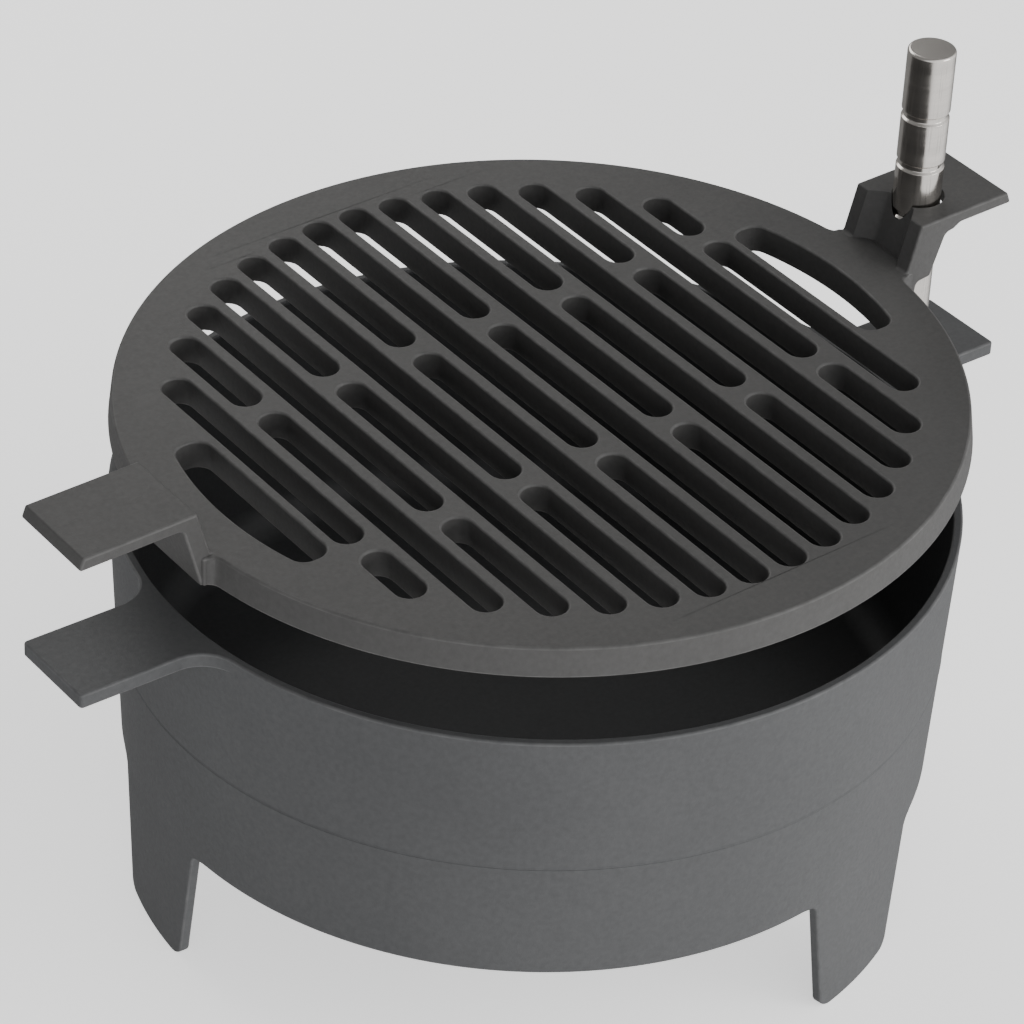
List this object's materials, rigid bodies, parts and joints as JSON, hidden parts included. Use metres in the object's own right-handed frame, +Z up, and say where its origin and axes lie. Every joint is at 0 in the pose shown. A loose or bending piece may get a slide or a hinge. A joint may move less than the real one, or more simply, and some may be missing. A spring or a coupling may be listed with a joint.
{
  "type": "tabletop charcoal grill",
  "caption": "Round cast-iron charcoal grill on curved legs, with a slotted cooking grate that slides up and swings out on a grooved steel post.",
  "frame": {"origin": "on the floor, below the middle of the round bowl", "axes": "+Z up; +X from the bowl's axis towards the post; the handle is at -X; +Y completes a right-handed frame"},
  "size_m": [0.428, 0.3231, 0.2978],
  "materials": {
    "bowl_iron": "matte, fine sand-cast grain, oiled",
    "grate_iron": "matte, fine sand-cast grain, oiled",
    "post_steel": "satin turned stainless",
    "zinc_steel": "zinc plated"
  },
  "bodies": {
    "base": {"bowl_body": "bowl_iron", "post_washer": "zinc_steel", "post_nut": "zinc_steel"},
    "post_body": {"post": "post_steel"},
    "grate_body": {"cooking_grate": "grate_iron"}
  },
  "joints": [
    {"name": "grate_swing", "type": "hinge", "parent": "base", "child": "post_body", "pos_m": [0.1815, 0, 0.164], "axis": [0, 0, 1], "continuous": true},
    {"name": "grate_lift", "type": "slide", "parent": "post_body", "child": "grate_body", "axis": [0, 0, 1], "range_m": [-0.027, 0.065]}
  ]
}
